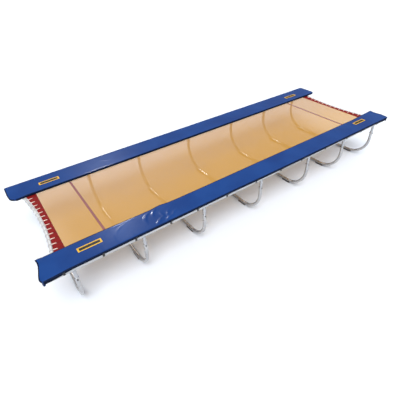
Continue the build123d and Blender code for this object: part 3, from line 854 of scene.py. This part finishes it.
def hems():
    for word, side in SIDES.items():
        for zone_word, zone in ZONES.items():
            hem = hem_piece(f"{word}_hem_{zone_word}", side, zone)
            x0, x1 = zone_range(zone, HEM_ROD_HI.x)
            centres = [(x, side * HEM_ROD_Y, HEM_ROD_Z) for x in spaced(x0, x1, 0.03)]
            rod = bent_rod(f"{word}_rod_{zone_word}", centres, HEM_ROD_RADIUS, ROD_METAL, "rod_steel")
            if zone == 0:
                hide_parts(f"{word}_edge_hem")
                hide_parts(f"{word}_hem_rod")
            ride_zone(finished(hem), zone)
            ride_zone(rod, zone)


# ---------------------------------------------------------------- end bands

def bow_point(radius, angle, z, end):
    """Point at an angle about the centre of the end tube's bow."""
    return (end * (BOW_CENTRE - radius * cos(angle)), radius * sin(angle), z)


def bow_angle(y):
    """The angle about that centre at which the end tube's own bow is y from the middle."""
    return atan2(y, sqrt(BOW ** 2 - y ** 2))


def end_band(word, end):
    """Red band from the bed's end to the end tube, open at every loop."""
    outer = BOW + TUBE_RADIUS + 0.002
    notch = BOW + (TUBE_X - END_ROD_X) + NOTCH_MARGIN
    stations = [place / BOW for place in loop_stations(END_LOOPS)]
    notch_half = NOTCH_WIDTH / 2 / BOW
    edges = {bow_angle(BAND_HI.y) * sign for sign in (-1, 1)}
    for station in stations:
        edges.update((station - notch_half, station + notch_half))
    edges = sorted(edges)
    parts = []
    top, thickness = BAND_HI.z - 0.0002, 0.0018
    dip_depth, dip_reach = 0.0015, 0.03      # lower on the bed's side of the rod
    for a0, a1 in zip(edges[:-1], edges[1:]):
        open_here = any(abs((a0 + a1) / 2 - s) < notch_half for s in stations)
        angles = spaced(a0, a1, 0.02 / BOW)
        near_edge = notch if open_here else outer
        points = []
        for a in angles:
            straight = (BOW_CENTRE - BED_HI.x) / cos(a)
            radii = [straight + (notch - straight) * k / 5 for k in range(6)]
            radii += [notch + (near_edge - notch) * k / 4 for k in range(1, 5)] if not open_here else []
            for r in radii:
                dip = dip_depth * smoothstep((notch - r) / dip_reach)
                points.append(bow_point(r, a, top - dip, end))
        faces = grid_faces(len(angles), len(points) // len(angles))
        parts.append((points, facing(faces, end > 0)))
    band = make_piece(f"{word}_band", *join_meshes(parts), BAND_RED, "end_band_fabric")
    ride_zone(finished(thicken(band, thickness, offset=0)), end)
    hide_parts(f"{word}_end_band")


def end_rods():
    radius = BOW + (TUBE_X - END_ROD_X)
    limit = bow_angle(END_ROD_HI.y)
    for word, end in ENDS.items():
        centres = [bow_point(radius, a, END_ROD_Z, end) for a in spaced(-limit, limit, 0.008)]
        rod = bent_rod(f"{word}_rod", centres, END_ROD_RADIUS, ROD_METAL, "rod_steel")
        ride_zone(rod, end)
        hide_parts(f"{word}_end_rod")


# ---------------------------------------------------------------- rubber loops

def belt_outline(anchor_radius, rod_radius, distance, rise):
    """Centre line of a loop round two bars, in its own plane: (place, outward direction)."""
    big = anchor_radius + LOOP_FIT + LOOP_THICKNESS / 2
    small = rod_radius + LOOP_FIT + LOOP_THICKNESS / 2
    reach = sqrt(distance ** 2 + rise ** 2)
    heading = atan2(rise, distance)
    spread = acos((big - small) / reach)
    outline = []
    anchor_steps, rod_steps = 14, 8
    for k in range(anchor_steps + 1):
        a = heading + spread + (2 * pi - 2 * spread) * k / anchor_steps
        outline.append((big * cos(a), big * sin(a), cos(a), sin(a)))
    for k in range(rod_steps + 1):
        a = heading - spread + 2 * spread * k / rod_steps
        outline.append((distance + small * cos(a), rise + small * sin(a), cos(a), sin(a)))
    return outline


def belt(origin, inward, outline):
    """Flat rubber loop: the outline swept with a rounded strip. inward points from anchor to rod."""
    inward = Vector(inward)
    across = Vector((-inward.y, inward.x, 0))
    w, t, c = LOOP_WIDTH / 2, LOOP_THICKNESS / 2, LOOP_EDGE
    strip = [(-w + c, t), (w - c, t), (w, t - c), (w, c - t),
             (w - c, -t), (c - w, -t), (-w, c - t), (-w, t - c)]
    points = []
    for u, z, nu, nz in outline:
        for side, out in strip:
            flat = inward * (u + nu * out) + across * side
            points.append(Vector(origin) + flat + Vector((0, 0, z + nz * out)))
    return points, grid_faces(len(outline), len(strip), wrap_rows=True, wrap_columns=True)


def end_loops():
    outline = belt_outline(TUBE_RADIUS, END_ROD_RADIUS, TUBE_X - END_ROD_X, END_ROD_Z - TUBE_Z)
    for word, end in ENDS.items():
        parts = []
        for place in loop_stations(END_LOOPS):
            a = place / BOW
            origin = bow_point(BOW, a, TUBE_Z, end)
            parts.append(belt(origin, (-end * cos(a), sin(a), 0), outline))
        loops = make_piece(f"{word}_loops", *join_meshes(parts), END_LOOP, "loop_rubber")
        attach(loops, "frame")
        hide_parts(f"{word}_end_loops")


def side_loop_group(name, side, places):
    outline = belt_outline(BAR_RADIUS, HEM_ROD_RADIUS, BAR_Y - HEM_ROD_Y, HEM_ROD_Z - BAR_Z)
    parts = [belt((x, side * BAR_Y, BAR_Z), (0, -side, 0), outline) for x in places]
    return make_piece(name, *join_meshes(parts), LOOP_PALE, "loop_rubber")


def side_loops():
    """Middle loops in one group; those over the end zones in a group for each pair of places."""
    stations = loop_stations(SIDE_LOOPS)
    middle = [x for x in stations if abs(x) < END_ZONE_START]
    outer = sorted({round(abs(x), 4) for x in stations if abs(x) >= END_ZONE_START})
    for word, side in SIDES.items():
        groups = [("middle", middle, 1.0)]
        for number, x in enumerate(outer, start=1):
            share = (END_ZONE_END - x) / (END_ZONE_END - END_ZONE_START)
            groups.append((f"outer_{number}", [-x, x], share))
        for label, places, share in groups:
            loops = side_loop_group(f"{word}_loops_{label}", side, places)
            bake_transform(loops)
            if label == "middle":
                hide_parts(f"{word}_side_loops")


# ---------------------------------------------------------------- straps

def straps():
    """Webbing closed round the rail, and the tongues that join it to the pad's outer edge."""
    y0, y1 = RAIL_LO.y - STRAP_SKIN, RAIL_HI.y + STRAP_SKIN
    z0, z1 = RAIL_LO.z - STRAP_SKIN, RAIL_HI.z + STRAP_SKIN
    corner_radius = 0.007
    section = [(y, z) for _, arc in rounded_corners(y0, y1, z0, z1, corner_radius) for y, z, _ in arc]
    for word, side in SIDES.items():
        bands, tongues = [], []
        for x in STRAP_PLACES:
            bands.append(strap_run(x, side, section, True))
            edge = pad_edge(x, side, False)
            low = PAD_BOTTOM - SKIRT_DROP - 0.0060
            # from the rail, out below the pad's skirt and up its side
            tongue = [(y1 - 0.002, z1 - 0.024), (y1 + 0.0012, z1 - 0.022), (y1 + 0.008, z1 - 0.018),
                      (y1 + 0.016, low), (edge - 0.006, low - 0.001), (edge + 0.001, low),
                      (edge + 0.0036, low + 0.004), (edge + 0.0040, PAD_BOTTOM + 0.002),
                      (edge + 0.0034, PAD_BOTTOM + 0.012)]
            tongues.append(strap_run(x, side, tongue, False))
        band = make_piece(f"{word}_straps", *join_meshes(bands), STRAP_BLACK, "strap_webbing")
        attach(finished(thicken(band, 0.002)), "frame")
        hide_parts(f"{word}_pad_straps")
        tongue = make_piece(f"{word}_strap_tongues", *join_meshes(tongues), STRAP_BLACK, "strap_webbing")
        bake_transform(finished(thicken(tongue, 0.0016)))


def strap_run(x, side, section, closed):
    """One strap's width of webbing along a section across the track."""
    columns = [x + STRAP_WIDTH * (k / 4 - 0.5) for k in range(5)]
    points = [(column, side * y, z) for y, z in section for column in columns]
    return points, facing(grid_faces(len(section), len(columns), wrap_rows=closed), side == FAR)


# ---------------------------------------------------------------- stage

def stage():
    points = [(-FLOOR_HALF, -FLOOR_HALF, 0), (FLOOR_HALF, -FLOOR_HALF, 0),
              (FLOOR_HALF, FLOOR_HALF, 0), (-FLOOR_HALF, FLOOR_HALF, 0)]
    mesh = bpy.data.meshes.new("floor")
    mesh.from_pydata(points, [], [(0, 1, 2, 3)])
    shader = Shader("floor", (0.83, 0.885, 0.965), Roughness=0.9)
    mesh.materials.append(shader.material)
    floor = bpy.data.objects.new("floor", mesh)
    bpy.context.scene.collection.objects.link(floor)


def lights():
    """A sky that is brighter overhead, a broad sun, and a lamp seen only in the gloss of the pads."""
    world = bpy.data.worlds.new("studio")
    bpy.context.scene.world = world
    world.use_nodes = True
    tree = world.node_tree
    background = tree.nodes["Background"]
    background.inputs["Strength"].default_value = SKY_STRENGTH
    split = tree.nodes.new("ShaderNodeSeparateXYZ")
    height = tree.nodes.new("ShaderNodeValToRGB")
    tree.links.new(tree.nodes.new("ShaderNodeTexCoord").outputs["Generated"], split.inputs["Vector"])
    tree.links.new(split.outputs["Z"], height.inputs["Fac"])
    tree.links.new(height.outputs["Color"], background.inputs["Color"])
    low, high = height.color_ramp.elements
    low.color, high.color = (0.50, 0.50, 0.52, 1), (1.0, 1.0, 1.0, 1)
    low.position, high.position = 0.25, 0.85
    sun = bpy.data.lights.new("key", "SUN")
    sun.energy, sun.angle = SUN_STRENGTH, radians(SUN_SPREAD)
    add_lamp(sun, SUN_PLACE)
    gloss = bpy.data.lights.new("gloss", "AREA")
    gloss.energy, gloss.size = GLOSS_POWER, GLOSS_SIZE
    add_lamp(gloss, GLOSS_PLACE).visible_diffuse = False


def add_lamp(data, place):
    lamp = bpy.data.objects.new(data.name, data)
    lamp.location = place
    lamp.rotation_euler = (Vector(LAMP_TARGET) - Vector(place)).to_track_quat("-Z", "Y").to_euler()
    bpy.context.scene.collection.objects.link(lamp)
    return lamp


def camera():
    data = bpy.data.cameras.new("camera")
    data.lens = CAMERA_LENS
    view = bpy.data.objects.new("camera", data)
    view.location = CAMERA_PLACE
    view.rotation_euler = [radians(a) for a in CAMERA_TURN]
    bpy.context.scene.collection.objects.link(view)
    bpy.context.scene.camera = view


bpy.context.scene.view_settings.view_transform = "Standard"
camera()
lights()
stage()
dress_cad()
pads()
bed()
hems()
for band_word, band_end in ENDS.items():
    end_band(band_word, band_end)
end_rods()
end_loops()
side_loops()
straps()
